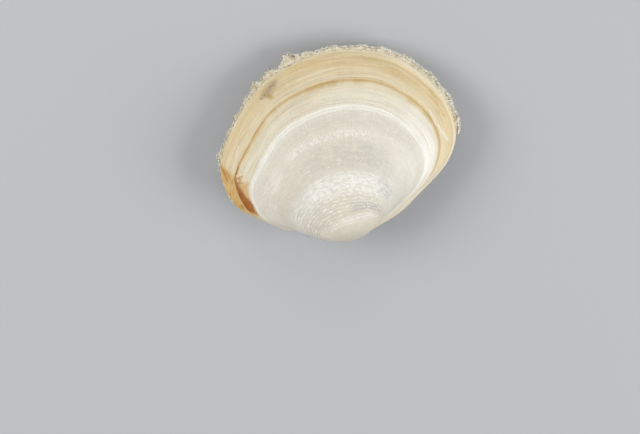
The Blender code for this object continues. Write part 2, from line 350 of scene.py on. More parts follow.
def make_tube(name, rings, material):
    """A closed tube from rings in the shell's own axes."""
    points, corners = closed_tube(rings)
    world = place_in_part(points, 1)
    return make_mesh(name, world, turned_outward(world, corners), {}, material)


def valve_rings(loop, around, seed):
    """The rings of one valve, from the beak to the edge and back inside, and the growth of each."""
    growth = BEAK_GROWTH + (1 - BEAK_GROWTH) * np.linspace(0, 1, RINGS)
    outer = cut_groove(wind(growth[:, None, None] * loop[None], growth))
    grid_around, grid_growth = np.meshgrid(around, growth)
    relief = growth_relief(grid_growth, grid_around, seed)
    away_from_hinge = smooth_step(loop[:, 1] / (0.8 * LOW_SIDE))
    fade_at_edge = smooth_step((1 - growth) / 0.01)
    relief = relief * away_from_hinge[None, :] * fade_at_edge[:, None]
    outer = outer + surface_normals(outer) * relief[..., None]
    inner_growth = np.linspace(1.0, HOLLOW_GROWTH, INNER_RINGS)
    wall = WALL * (WALL_AT_BEAK + (1 - WALL_AT_BEAK) * inner_growth)
    inset = inward_normals(loop)[None] * wall[:, None, None]
    inner = wind(inner_growth[:, None, None] * loop[None] + inset, inner_growth)
    ring_growth = np.concatenate([growth, np.full(INNER_RINGS, INSIDE_GROWTH)])
    return np.concatenate([outer, inner]), ring_growth


def ring_layer(corners, around, ring_growth):
    """For each triangle's corner, its share of the way round and its growth."""
    flat_growth = np.concatenate([np.repeat(ring_growth, COLUMNS), [0.0, INSIDE_GROWTH]])
    flat_around = np.concatenate([np.tile(around, len(ring_growth)), [0.5, 0.5]])
    layer = np.stack([flat_around[corners], flat_growth[corners]], axis=-1)
    wraps = (layer[..., 0].max(axis=1) - layer[..., 0].min(axis=1)) > 0.5
    at_start = layer[..., 0] < 0.25
    layer[..., 0] = np.where(wraps[:, None] & at_start, layer[..., 0] + 1, layer[..., 0])
    return layer


def make_valve(name, side, seed, material):
    loop = edge_loop(COLUMNS)
    around = np.arange(COLUMNS) / COLUMNS
    rings, ring_growth = valve_rings(loop, around, seed)
    points, corners = closed_tube(rings)
    plan = points[:, :2] / PLAN_SIZE
    world = place_in_part(points, side)
    world[:, 2] = np.maximum(world[:, 2], 0.0)
    corners = turned_outward(world, corners)
    layers = {"ring": ring_layer(corners, around, ring_growth), "plan": plan[corners]}
    valve = make_mesh(name, world, corners, layers, material)
    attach(valve, "root")
    return valve


# Node helpers

class Nodes:
    """Shorthand for building a material's nodes."""

    def __init__(self, name, variant=0.0):
        self.variant = variant
        self.material = bpy.data.materials.new(name)
        self.material.use_nodes = True
        self.tree = self.material.node_tree
        self.shader = self.tree.nodes["Principled BSDF"]

    def link(self, source, socket):
        if isinstance(source, (int, float)):
            socket.default_value = source
        elif isinstance(source, tuple):
            socket.default_value = (*source, 1.0) if len(socket.default_value) == 4 else source
        else:
            self.tree.links.new(source, socket)

    def node(self, kind):
        return self.tree.nodes.new("ShaderNode" + kind)

    def math(self, operation, a, b=0.0, c=0.0, clamp=False):
        node = self.node("Math")
        node.operation = operation
        node.use_clamp = clamp
        self.link(a, node.inputs[0])
        self.link(b, node.inputs[1])
        if operation == "MULTIPLY_ADD":
            self.link(c, node.inputs[2])
        return node.outputs[0]

    def add(self, a, b):
        return self.math("ADD", a, b)

    def times(self, made, *factors):
        for factor in factors:
            made = self.math("MULTIPLY", made, factor)
        return made

    def uv(self, name):
        node = self.node("UVMap")
        node.uv_map = name
        split = self.node("SeparateXYZ")
        self.link(node.outputs[0], split.inputs[0])
        return split.outputs[0], split.outputs[1]

    def object_place(self):
        return self.node("TexCoord").outputs["Object"]

    def vector(self, x, y):
        node = self.node("CombineXYZ")
        self.link(x, node.inputs[0])
        self.link(y, node.inputs[1])
        return node.outputs[0]

    def noise(self, vector, scale, detail=2.0, roughness=0.5):
        node = self.node("TexNoise")
        if self.variant:
            node.noise_dimensions = "4D"
            node.inputs["W"].default_value = self.variant
        self.link(vector, node.inputs["Vector"])
        for name, value in (("Scale", scale), ("Detail", detail), ("Roughness", roughness)):
            node.inputs[name].default_value = value
        return node.outputs["Fac"]

    def smooth(self, value, low, high):
        """0 at low, 1 at high, smooth between. low may be above high."""
        node = self.node("MapRange")
        node.interpolation_type = "SMOOTHSTEP"
        self.link(value, node.inputs["Value"])
        if low < high:
            ends = (low, high, 0.0, 1.0)
        else:
            ends = (high, low, 1.0, 0.0)
        for socket, end in zip(("From Min", "From Max", "To Min", "To Max"), ends):
            node.inputs[socket].default_value = end
        return node.outputs["Result"]

    def ramp(self, value, stops):
        node = self.node("ValToRGB")
        self.link(value, node.inputs["Fac"])
        elements = node.color_ramp.elements
        while len(elements) < len(stops):
            elements.new(1.0)
        for element, (place, _colour) in zip(elements, stops):
            element.position = place
        for element, (_place, colour) in zip(elements, stops):
            element.color = (*colour, 1.0)
        return node.outputs["Color"]

    def mix(self, share, a, b):
        node = self.node("Mix")
        node.data_type = "RGBA"
        self.link(share, node.inputs[0])
        self.link(a, node.inputs[6])
        self.link(b, node.inputs[7])
        return node.outputs[2]

    def stain(self, colour, paint, *shares):
        return self.mix(self.times(*shares), colour, paint)

    def brighten(self, colour, factor):
        node = self.node("VectorMath")
        node.operation = "SCALE"
        self.link(colour, node.inputs[0])
        self.link(factor, node.inputs["Scale"])
        return node.outputs[0]

    def streak(self, place, start, end, widths, soft=0.5):
        """1 on a tapered stroke between two places in shell mm, falling softly to 0 at its sides."""
        x, y = place
        run = (end[0] - start[0], end[1] - start[1])
        square = run[0] ** 2 + run[1] ** 2
        dx = self.math("SUBTRACT", x, start[0])
        dy = self.math("SUBTRACT", y, start[1])
        along = self.add(self.times(dx, run[0] / square), self.times(dy, run[1] / square))
        along = self.math("ADD", along, 0.0, clamp=True)
        off_x = self.math("SUBTRACT", dx, self.times(along, run[0]))
        off_y = self.math("SUBTRACT", dy, self.times(along, run[1]))
        distance = self.math("SQRT", self.add(self.times(off_x, off_x), self.times(off_y, off_y)))
        width = self.math("MULTIPLY_ADD", along, widths[1] - widths[0], widths[0])
        return self.smooth(self.math("DIVIDE", distance, width), 1.0, 1.0 - soft)

    def bump(self, height, strength, distance):
        node = self.node("Bump")
        node.inputs["Strength"].default_value = strength
        node.inputs["Distance"].default_value = distance
        self.link(height, node.inputs["Height"])
        self.tree.links.new(node.outputs["Normal"], self.shader.inputs["Normal"])

    def surface(self, colour, roughness):
        self.link(colour, self.shader.inputs["Base Color"])
        self.shader.inputs["Roughness"].default_value = roughness

    def under_surface(self, weight, radius, scale):
        """How far light goes in under the surface."""
        self.shader.inputs["Subsurface Weight"].default_value = weight
        self.shader.inputs["Subsurface Radius"].default_value = radius
        self.shader.inputs["Subsurface Scale"].default_value = scale

    def most(self, *masks):
        made = masks[0]
        for mask in masks[1:]:
            made = self.math("MAXIMUM", made, mask)
        return made


# Materials

BAND_STOPS = (
    (0.0, (0.7, 0.64, 0.52)), (0.15, (0.73, 0.675, 0.56)),
    (0.21, (0.76, 0.71, 0.6)), (0.25, (0.675, 0.625, 0.51)),
    (0.32, (0.68, 0.64, 0.535)), (0.38, (0.72, 0.69, 0.605)),
    (0.44, (0.7, 0.665, 0.575)), (0.48, (0.68, 0.645, 0.55)),
    (0.56, (0.715, 0.68, 0.58)), (0.62, (0.76, 0.725, 0.62)),
    (0.67, (0.74, 0.705, 0.6)), (0.715, (0.765, 0.73, 0.63)),
    (0.7215, (0.91, 0.89, 0.81)), (0.7275, (0.78, 0.745, 0.645)),
    (0.7345, (0.91, 0.885, 0.8)), (0.744, (0.795, 0.745, 0.61)),
    (0.765, (0.78, 0.72, 0.57)), (0.79, (0.8, 0.745, 0.6)),
    (0.82, (0.77, 0.7, 0.53)), (0.845, (0.765, 0.675, 0.48)),
    (0.852, (0.7, 0.56, 0.33)), (0.857, (0.57, 0.39, 0.16)),
    (0.8625, (0.71, 0.58, 0.35)), (0.875, (0.77, 0.665, 0.46)),
    (0.9, (0.76, 0.64, 0.42)), (0.93, (0.735, 0.6, 0.37)),
    (0.95, (0.745, 0.615, 0.385)), (0.957, (0.7, 0.55, 0.31)),
    (0.966, (0.74, 0.605, 0.37)), (0.985, (0.735, 0.6, 0.36)),
    (0.993, (0.81, 0.74, 0.56)), (1.0, (0.8, 0.74, 0.59)),
)
FIRST_RAMP_STOPS = 16
RAMPS_MEET = (0.745, 0.747)
GRAIN_STOPS = (
    (0.0, (0.8, 0.78, 0.7)), (0.45, (0.74, 0.7, 0.58)), (0.62, (0.6, 0.53, 0.36)),
    (0.8, (0.45, 0.4, 0.3)), (0.93, (0.3, 0.26, 0.2)), (1.0, (0.1, 0.08, 0.06)),
)
SLIME_STOPS = ((0.3, (0.42, 0.34, 0.2)), (0.46, (0.63, 0.55, 0.38)), (0.62, (0.76, 0.7, 0.55)))
RIGHT_VARIANT = 7.3  # the fourth coordinate of the right valve's noise

# Shifts of the rings, the last halt and the painted ribs, in growth
LOWER_SHIFT = 0.021
FRONT_SHIFT = -0.01
YOUNG_FRONT_SHIFT = -0.045
HALT_LINE = 0.856
HALT_STAIN = 0.849
PAINTED_RIB_PITCH = 0.0165

# Colours of the stains; the dorsal cream is partly a painted highlight
TAN = (0.65, 0.47, 0.2)
PALE_RIM = (0.88, 0.81, 0.64)
HALT_BROWN = (0.43, 0.21, 0.05)
HIND_HALT_BROWN = (0.46, 0.23, 0.055)
HALT_OCHRE = (0.6, 0.4, 0.13)
WARM_SAND = (0.66, 0.52, 0.28)
# Cream of the dorsal ends: the shell's own colour at the hind end, and at the front end partly a painted
# highlight where the light falls brightest
DORSAL_CREAM_AND_HIGHLIGHT = (0.8, 0.74, 0.6)
CHALK = (0.945, 0.93, 0.88)
WORN_GREY = (0.5, 0.495, 0.45)
BEIGE = (0.69, 0.62, 0.51)
GOLD = (0.68, 0.45, 0.14)
DARK_GOLD = (0.6, 0.33, 0.08)
STROKE_BROWN = (0.43, 0.175, 0.025)
FRINGE_AMBER = (0.69, 0.42, 0.12)
WEDGE_ORANGE = (0.6, 0.26, 0.02)
WEDGE_RED = (0.42, 0.13, 0.014)
WEDGE_SIDE = (0.4, 0.19, 0.07)
WEDGE_FIBRE = (0.285, 0.065, 0.006)
SMEAR_GREY = (0.49, 0.375, 0.225)
SMEAR_SPECK = (0.29, 0.22, 0.13)
BLOTCH_OCHRE = (0.64, 0.45, 0.18)

# Parts of the rings: left and right round the edge, low and high in growth, their two softnesses, strength
RIB_ZONES = (
    (0.17, 0.5, 0.2, 0.455, 0.05, 0.04, 1.0), (0.42, 0.8, 0.255, 0.45, 0.08, 0.03, 0.8),
)
SMALL_RIB_ZONES = ((0.3, 0.76, 0.19, 0.25, 0.09, 0.015, 1.0),)
CLOUDS = (
    (0.28, 0.78, 0.325, 0.44, 0.1, 0.035, 0.66), (0.42, 0.76, 0.205, 0.24, 0.07, 0.012, 0.6),
    (0.24, 0.36, 0.56, 0.66, 0.05, 0.03, 0.4), (0.17, 0.3, 0.5, 0.72, 0.05, 0.05, 0.25),
)
SMOOTH_CLOUDS = (
    (0.64, 0.84, 0.3, 0.7, 0.07, 0.1, 0.16), (0.6, 0.93, 0.71, 0.85, 0.1, 0.03, 0.42),
    (0.66, 0.96, 0.71, 0.78, 0.12, 0.016, 0.8),
)
TICK_ZONES = (
    (0.3, 0.68, 0.465, 0.515, 0.06, 0.012, 1.0), (0.2, 0.8, 0.24, 0.72, 0.06, 0.05, 0.45),
)
WORN_ZONES = (
    (0.5, 0.77, 0.246, 0.306, 0.07, 0.018, 1.0), (0.34, 0.68, 0.43, 0.595, 0.1, 0.05, 0.45),
    (0.56, 0.72, 0.43, 0.56, 0.06, 0.05, 0.3), (0.3, 0.76, 0.636, 0.715, 0.1, 0.02, 0.16),
)
WORN_NOTCH = ((0.645, 0.745, 0.355, 0.45, 0.026, 0.026, 1.0),)

# Strokes placed by the rings: a strength, a softness and places. A place is the share of the way round
# times RING_ROUND, the growth times RING_OUT, and a half width. Some start with a share and a colour
RING_ROUND = 52.0
RING_OUT = 16.0
PALE_GOLD = (0.5, (0.74, 0.56, 0.26), (
    (1.0, 1.0, ((11.9, 15.95, 0.3), (11.6, 15.55, 0.45), (12.0, 14.8, 0.35))),
))
BROWN_STROKES = (
    (1.0, 1.0, ((13.25, 15.85, 0.2), (12.95, 15.4, 0.42), (12.45, 15.1, 0.3))),
    (0.85, 1.0, ((13.1, 15.0, 0.3), (12.75, 14.6, 0.26), (12.5, 14.35, 0.16))),
    (0.55, 0.9, ((10.75, 15.7, 0.1), (11.1, 15.4, 0.16), (11.6, 15.05, 0.12))),
    (0.55, 0.9, ((9.75, 15.3, 0.16), (10.0, 14.6, 0.34), (10.35, 14.15, 0.2))),
)
AMBER = (0.42, (0.66, 0.35, 0.075), (
    (1.0, 1.0, ((12.4, 13.05, 0.45), (12.9, 12.5, 0.48), (13.45, 12.15, 0.34))),
))
MAUVE = (0.75, (0.5, 0.29, 0.14), ((1.0, 1.0, ((12.1, 13.6, 0.3), (12.75, 13.5, 0.4), (13.3, 13.2, 0.3))),))
HALT_END = (0.8, (0.33, 0.125, 0.03), (
    (1.0, 0.9, (
        (9.6, 13.72, 0.1), (10.8, 13.74, 0.1), (12.06, 13.76, 0.15),
        (12.95, 13.93, 0.15), (13.6, 13.8, 0.14), (14.2, 13.68, 0.13),
    )),
))
STRANDS = (0.55, (0.4, 0.19, 0.06), (
    (1.0, 1.0, ((12.85, 13.8, 0.1), (13.3, 13.45, 0.14), (13.75, 12.95, 0.1))),
    (1.0, 1.0, ((12.5, 13.6, 0.1), (12.95, 13.2, 0.13), (13.2, 12.75, 0.08))),
))
PALE_DOTS = (0.9, (0.93, 0.7, 0.47), (
    (1.0, 0.9, ((13.4, 13.62, 0.15), (13.6, 13.38, 0.12))),
    (1.0, 0.9, ((13.05, 13.5, 0.12), (13.0, 13.4, 0.1))),
    (1.0, 0.9, ((13.72, 13.2, 0.11), (13.85, 13.12, 0.1))),
))

# Strokes placed in the plan, in mm from the beak
SMEAR = (
    (1.0, 1.0, ((-3.1, 14.35, 0.3), (-3.6, 14.0, 0.6), (-3.9, 13.7, 0.55))),
    (1.0, 1.0, ((-3.9, 13.7, 0.55), (-4.25, 13.55, 0.5), (-4.55, 13.3, 0.25))),
)
SMEAR_TAIL = (0.7, (0.48, 0.31, 0.1), ((1.0, 1.0, ((-4.0, 13.45, 0.4), (-3.75, 13.2, 0.36))),))
BLOTCHES = (
    (1.0, 0.9, ((9.95, 8.2, 0.14), (9.35, 8.75, 0.34))),
    (1.0, 0.9, ((9.45, 9.3, 0.18), (9.25, 10.6, 0.2))),
    (0.7, 0.9, ((8.3, 11.3, 0.3), (5.6, 13.35, 0.3))),
)
SCRAPES = (0.6, (0.9, 0.85, 0.7), (
    (1.0, 0.9, ((9.1, 7.6, 0.12), (9.55, 6.3, 0.2))),
    (1.0, 0.9, ((8.7, 8.9, 0.16), (8.95, 7.7, 0.14))),
    (1.0, 0.9, ((-7.35, 9.9, 0.07), (-7.8, 9.1, 0.07))),
    (0.6, 0.9, ((-1.3, 14.0, 0.14), (1.8, 14.3, 0.14))),
))


def ring_noise(n, out, round_scale, out_scale, detail=1.0, roughness=0.5):
    """Noise with one scale round the edge and another outwards."""
    place = n.vector(n.times(n.around, round_scale), n.times(out, out_scale))
    return n.noise(place, 1.0, detail, roughness)


def ring_shift(n):
    """The growth with the unevenness of the rings added."""
    slow = ring_noise(n, n.growth, 5.0, 2.0, 2.0)
    ragged = ring_noise(n, n.growth, 60.0, 9.0, 3.0, 0.6)
    shift = n.add(centred(n, slow, 0.012), centred(n, ragged, 0.009))
    lower = n.times(n.smooth(n.around, 0.235, 0.32), n.smooth(n.around, 0.76, 0.5))
    lower = n.times(lower, n.times(n.smooth(n.growth, 0.4, 0.62), n.smooth(n.growth, 1.0, 0.82)))
    shift = n.add(shift, n.times(lower, LOWER_SHIFT))
    front = n.times(n.smooth(n.around, 0.62, 0.8), FRONT_SHIFT)
    young_front = n.times(n.smooth(n.around, 0.52, 0.74), n.smooth(n.growth, 0.4, 0.22))
    young_front = n.times(young_front, YOUNG_FRONT_SHIFT)
    return n.add(n.add(n.growth, shift), n.add(front, young_front))


def paint_bands(n):
    """The colour rings of the shell, in two ramps that meet just outside the white double ring."""
    young = n.ramp(n.at, BAND_STOPS[:FIRST_RAMP_STOPS])
    old = n.ramp(n.at, BAND_STOPS[FIRST_RAMP_STOPS - 1:])
    return n.mix(n.smooth(n.at, *RAMPS_MEET), young, old)


def patch(n, out, left, right, low, high, soft_round, soft_out):
    """1 inside a part of the rings, falling softly to 0 at its sides."""
    left_side = n.smooth(n.around, left, left + soft_round)
    across = n.times(left_side, n.smooth(n.around, right, right - soft_round))
    return n.times(across, n.times(n.smooth(out, low, low + soft_out), n.smooth(out, high, high - soft_out)))


def zones(n, out, rows):
    """The strongest of several patches. A row holds a patch's six limits and its strength."""
    return n.most(*[n.times(patch(n, out, *row[:6]), row[6]) for row in rows])


def centred(n, value, strength):
    return n.times(n.math("SUBTRACT", value, 0.5), strength)


def paint_lines(n, colour):
    """Fine growth lines, faint rays and mottling laid over the bands."""
    fine = ring_noise(n, n.at, 13.0, 175.0)
    middling = ring_noise(n, n.at, 9.0, 84.0, 2.0, 0.6)
    broad = ring_noise(n, n.at, 6.0, 30.0)
    rays = ring_noise(n, n.growth, 300.0, 5.0)
    weave = ring_noise(n, n.at, 220.0, 120.0)
    blotch = ring_noise(n, n.growth, 30.0, 17.0, 3.0, 0.6)
    outer = n.smooth(n.growth, 0.7, 0.78)
    inner = n.math("SUBTRACT", 1.0, outer)
    mostly_outer = n.add(0.35, n.times(outer, 0.65))
    light = n.add(1.0, n.times(centred(n, fine, 0.32), mostly_outer))
    light = n.add(light, n.times(centred(n, middling, 0.36), mostly_outer))
    light = n.add(light, n.times(centred(n, broad, 0.14), outer))
    light = n.add(light, n.times(centred(n, rays, 0.14), n.add(0.5, n.times(inner, 0.5))))
    light = n.add(light, n.times(centred(n, weave, 0.24), n.add(0.6, n.times(inner, 0.4))))
    return n.brighten(colour, n.add(light, centred(n, blotch, 0.2)))


def paint_tan(n, colour):
    """The warmer stains of the oldest band, stronger in some places round the edge, and a paler cream at
    both dorsal ends that is partly a painted highlight at the front.
    """
    patches = ring_noise(n, n.at, 22.0, 26.0, 3.0, 0.6)
    streaks = ring_noise(n, n.at, 16.0, 150.0, 2.0, 0.6)
    tan = n.add(0.35, n.times(n.smooth(streaks, 0.4, 0.62), 0.65))
    tan = n.times(n.smooth(patches, 0.46, 0.68), tan)
    band = patch(n, n.at, 0.36, 0.78, 0.905, 0.975, 0.12, 0.025)
    share = n.add(n.times(tan, 0.4), n.times(band, patches, 0.2))
    colour = n.stain(colour, TAN, share, n.smooth(n.at, 0.86, 0.9))
    pale_rim = n.times(n.smooth(n.around, 0.5, 0.64), n.smooth(n.at, 0.958, 0.984))
    colour = n.stain(colour, PALE_RIM, pale_rim, 0.6)
    colour = paint_halt(n, colour)
    warm = patch(n, n.at, 0.2, 0.54, 0.738, 0.862, 0.1, 0.012)
    colour = n.stain(colour, WARM_SAND, warm, n.smooth(streaks, 0.34, 0.6), 0.3)
    # Paler cream at both dorsal ends: at the hind end the shell's own less tan colour, at the front end
    # partly a painted highlight, paler where the light falls brightest.
    dorsal_cream_and_highlight = n.most(n.smooth(n.around, 0.168, 0.14), n.smooth(n.around, 0.78, 0.86))
    return n.stain(colour, DORSAL_CREAM_AND_HIGHLIGHT, dorsal_cream_and_highlight, n.smooth(n.at, 0.76, 0.82), 0.75)


def paint_halt(n, colour):
    """The brown line of the last halt in growth, unbroken at the hind end, and the stain round it."""
    broken = n.noise(n.vector(n.times(n.around, 24.0), 0.3), 1.0, 2.0, 0.6)
    off_line = n.math("ABSOLUTE", n.add(n.at, -HALT_LINE))
    dark = n.times(n.smooth(off_line, 0.0065, 0.0015), n.smooth(broken, 0.42, 0.6))
    colour = n.stain(colour, HALT_BROWN, dark, n.smooth(n.around, 0.72, 0.5), 0.45)
    hind = n.times(n.smooth(off_line, 0.012, 0.003), n.smooth(n.around, 0.36, 0.26))
    colour = n.stain(colour, HIND_HALT_BROWN, hind, 0.78)
    off_stain = n.math("ABSOLUTE", n.add(n.at, -HALT_STAIN))
    round_it = n.times(n.smooth(off_stain, 0.024, 0.004), n.smooth(broken, 0.4, 0.6))
    return n.stain(colour, HALT_OCHRE, round_it, 0.48)


def chalky_ribs(n):
    """The young ribs, white on their crests and broken up."""
    wander = ring_noise(n, n.growth, 12.0, 30.0, 2.0, 0.6)
    wave = n.times(n.add(n.at, centred(n, wander, 0.03)), 2 * math.pi / PAINTED_RIB_PITCH)
    gaps = ring_noise(n, n.at, 44.0, 60.0, 2.0)
    ribs = n.times(n.smooth(n.math("SINE", wave), -0.3, 0.9), n.smooth(gaps, 0.38, 0.6))
    return n.times(ribs, n.most(zones(n, n.growth, RIB_ZONES), zones(n, n.at, SMALL_RIB_ZONES)), 0.66)


def paint_white(n, colour):
    """The chalky patches, ribs and flecks of the younger part."""
    ragged = ring_noise(n, n.at, 46.0, 74.0, 4.0, 0.72)
    combed = ring_noise(n, n.growth, 170.0, 45.0, 2.0, 0.6)
    dashes = ring_noise(n, n.at, 60.0, 150.0, 2.0, 0.6)
    clouds = n.times(n.smooth(ragged, 0.4, 0.6), zones(n, n.at, CLOUDS))
    combed_band = patch(n, n.at, 0.32, 0.66, 0.585, 0.64, 0.1, 0.024)
    combed_band = n.times(combed_band, n.smooth(combed, 0.4, 0.64), 0.58)
    ticks = n.times(n.smooth(dashes, 0.6, 0.7), zones(n, n.at, TICK_ZONES), 0.75)
    smooth_clouds = zones(n, n.at, SMOOTH_CLOUDS)
    return n.mix(n.most(chalky_ribs(n), clouds, smooth_clouds, combed_band, ticks), colour, CHALK)


def paint_grey(n, colour):
    """The clear grey places where the chalk is worn."""
    worn = n.smooth(ring_noise(n, n.growth, 44.0, 60.0, 3.0, 0.6), 0.34, 0.56)
    grey = n.most(zones(n, n.at, WORN_ZONES), zones(n, n.growth, WORN_NOTCH))
    colour = n.stain(colour, WORN_GREY, grey, worn)
    return n.stain(colour, BEIGE, patch(n, n.at, 0.18, 0.6, 0.42, 0.715, 0.1, 0.05), 0.45)


def chain(n, spot, points, soft):
    """A stroke through several places, each given as two distances and a half width in mm."""
    pieces = []
    for start, end in zip(points, points[1:]):
        pieces.append(n.streak(spot, start[:2], end[:2], (start[2], end[2]), soft))
    return n.most(*pieces)


def strokes(n, spot, rows):
    """The strongest of several strokes. A row holds a strength, a softness and the places of a chain."""
    return n.most(*[n.times(chain(n, spot, places, soft), strength) for strength, soft, places in rows])


def paint_strokes(n, colour, spot, share, paint, rows):
    return n.stain(colour, paint, strokes(n, spot, rows), share)


def paint_marks(n, colour, place):
    """The stains that the left valve alone shows."""
    push = centred(n, n.noise(n.vector(*place), 4.0, 3.0, 0.6), 0.28)
    spot = (n.add(place[0], push), n.add(place[1], n.times(push, -0.7)))
    ring_out = n.add(n.times(n.at, RING_OUT), n.times(push, 0.5))
    ring_spot = (n.add(n.times(n.around, RING_ROUND), push), ring_out)
    fan = n.add(n.times(n.around, 250.0), n.times(n.at, 80.0))
    fibre = n.smooth(n.noise(n.vector(fan, n.times(n.at, 16.0)), 1.0, 3.0, 0.65), 0.36, 0.64)
    colour = paint_hind_end(n, colour, ring_spot, fibre)
    colour = paint_wedge(n, colour, ring_spot, fibre)
    for stain in (HALT_END, STRANDS, PALE_DOTS):
        colour = paint_strokes(n, colour, ring_spot, *stain)
    return paint_spots(n, colour, place, spot)


def paint_hind_end(n, colour, ring_spot, fibre):
    """The gold stain across the hind end of the oldest band, with darker strokes in it."""
    rim_lines = n.smooth(ring_noise(n, n.at, 26.0, 105.0, 2.0, 0.6), 0.34, 0.62)
    slanted = n.add(n.add(n.around, n.times(n.at, -0.04)), centred(n, fibre, 0.006))
    gold = n.times(n.smooth(slanted, 0.225, 0.211), n.smooth(n.around, 0.156, 0.196))
    gold = n.times(gold, n.smooth(n.at, 0.85, 0.868), n.add(0.66, n.times(rim_lines, 0.28)))
    colour = n.mix(gold, colour, n.mix(fibre, GOLD, DARK_GOLD))
    colour = paint_strokes(n, colour, ring_spot, *PALE_GOLD)
    brown = strokes(n, ring_spot, BROWN_STROKES)
    return n.stain(colour, STROKE_BROWN, brown, n.add(0.4, n.times(fibre, 0.55)))


def paint_wedge(n, colour, ring_spot, fibre):
    """The dark orange wedge just inside the last halt, and the amber fringe beside it."""
    uneven = centred(n, fibre, 0.01)
    slope = n.add(n.around, n.at)
    fringe = n.times(n.smooth(n.around, 0.168, 0.194), n.smooth(n.add(n.around, uneven), 0.272, 0.24))
    low_end = n.times(n.smooth(slope, 0.935, 0.985), n.smooth(n.at, 0.742, 0.765))
    under_halt = n.smooth(n.at, 0.867, 0.86)
    fringe = n.times(fringe, low_end, under_halt, n.add(0.52, n.times(fibre, 0.36)))
    colour = n.mix(fringe, colour, FRINGE_AMBER)
    colour = paint_strokes(n, colour, ring_spot, *AMBER)
    slanted = n.add(n.add(n.around, n.times(n.at, -0.27)), uneven)
    body = n.times(n.smooth(n.around, 0.176, 0.195), n.smooth(slanted, 0.0235, 0.0085))
    deep = n.mix(n.smooth(n.at, 0.765, 0.84), WEDGE_ORANGE, WEDGE_RED)
    deep = n.mix(n.smooth(slanted, -0.01, 0.012), deep, WEDGE_SIDE)
    deep = n.stain(deep, WEDGE_FIBRE, fibre, 0.85)
    colour = paint_strokes(n, colour, ring_spot, *MAUVE)
    return n.stain(colour, deep, body, n.smooth(slope, 0.94, 0.982), under_halt, 0.96)


def paint_spots(n, colour, place, spot):
    """The grey smear near the edge, the orange blotches at the front and the paler scrapes."""
    grain = n.noise(n.vector(*place), 6.0, 2.0, 0.6)
    smear = strokes(n, spot, SMEAR)
    colour = n.stain(colour, SMEAR_GREY, smear, 0.72)
    speckle = n.times(n.smooth(grain, 0.44, 0.6), 0.75)
    colour = n.stain(colour, SMEAR_SPECK, smear, speckle)
    colour = paint_strokes(n, colour, spot, *SMEAR_TAIL)
    colour = n.stain(colour, BLOTCH_OCHRE, strokes(n, spot, BLOTCHES), n.smooth(grain, 0.34, 0.6), 0.6)
    return paint_strokes(n, colour, spot, *SCRAPES)


def make_shell_material(name, marked):
    """The look of a valve. Only the left one has the marks, and the right one has its own noise."""
    n = Nodes(name, 0.0 if marked else RIGHT_VARIANT)
    n.around, n.growth = n.uv("ring")
    plan_x, plan_y = n.uv("plan")
    n.at = ring_shift(n)
    colour = paint_bands(n)
    for paint in (paint_tan, paint_grey, paint_white, paint_lines):
        colour = paint(n, colour)
    if marked:
        colour = paint_marks(n, colour, (n.times(plan_x, PLAN_SIZE), n.times(plan_y, PLAN_SIZE)))
    n.surface(colour, 0.45)
    n.shader.inputs["Specular IOR Level"].default_value = 0.35
    n.under_surface(0.05, (1.0, 0.8, 0.6), 0.0003)
    n.bump(ring_noise(n, n.at, 14.0, 420.0, 2.0, 0.6), 0.25, 0.00004)
    return n.material


def make_ligament_material():
    n = Nodes("horny_ligament")
    fibres = n.noise(n.object_place(), 9000.0, 3.0, 0.6)
    n.surface(n.ramp(fibres, ((0.3, (0.1, 0.045, 0.015)), (0.7, (0.33, 0.18, 0.07)))), 0.45)
    n.bump(fibres, 0.4, 0.00003)
    return n.material


def make_grain_material():
    n = Nodes("sand_grains")
    kind, shade = n.uv("grain")
    light = n.math("MULTIPLY_ADD", shade, 0.5, 0.72)
    n.surface(n.brighten(n.ramp(kind, GRAIN_STOPS), light), 0.35)
    n.under_surface(0.25, (1.0, 0.9, 0.8), 0.0001)
    return n.material


def make_slime_material():
    n = Nodes("slime_and_silt")
    place = n.object_place()
    n.surface(n.ramp(n.noise(place, 2600.0, 4.0, 0.65), SLIME_STOPS), 0.6)
    n.bump(n.noise(place, 9000.0, 3.0, 0.6), 0.6, 0.00005)
    return n.material


# The ligament

def ligament_rings():
    """The cord's rings, which lie just above the floor of the groove behind the beaks."""
    fine = edge_loop(1200)
    hinge_side = fine[fine[:, 1] < LOW_SIDE]
    order = np.argsort(hinge_side[:, 0])
    places = np.linspace(LIGAMENT_START, LIGAMENT_END, LIGAMENT_STATIONS)
    edge_y = np.interp(places, hinge_side[order, 0], hinge_side[order, 1])
    floor = edge_y + GROOVE_DEPTH * groove_share(places)
    swell = np.sin(math.pi * np.linspace(0.03, 0.97, LIGAMENT_STATIONS)) ** LIGAMENT_BLUNTNESS
    ridges = 1 + 0.05 * rough_line(71, 40)(np.linspace(0, 1, LIGAMENT_STATIONS))
    half_height = LIGAMENT_HALF_HEIGHT * swell * ridges
    half_width = LIGAMENT_HALF_WIDTH * swell * ridges
    angle = 2 * math.pi * np.arange(LIGAMENT_COLUMNS) / LIGAMENT_COLUMNS
    centre = floor - LIGAMENT_CLEARANCE - LIGAMENT_HALF_HEIGHT * swell
    rings = np.zeros((LIGAMENT_STATIONS, LIGAMENT_COLUMNS, 3))
    rings[..., 0] = places[:, None]
    rings[..., 1] = centre[:, None] + half_height[:, None] * np.cos(angle)
    rings[..., 2] = half_width[:, None] * np.sin(angle)
    return rings


def make_ligament(material):
    cord = make_tube("ligament_cord", ligament_rings(), material)
    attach(cord, "root")
    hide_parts("ligament")


# The sand

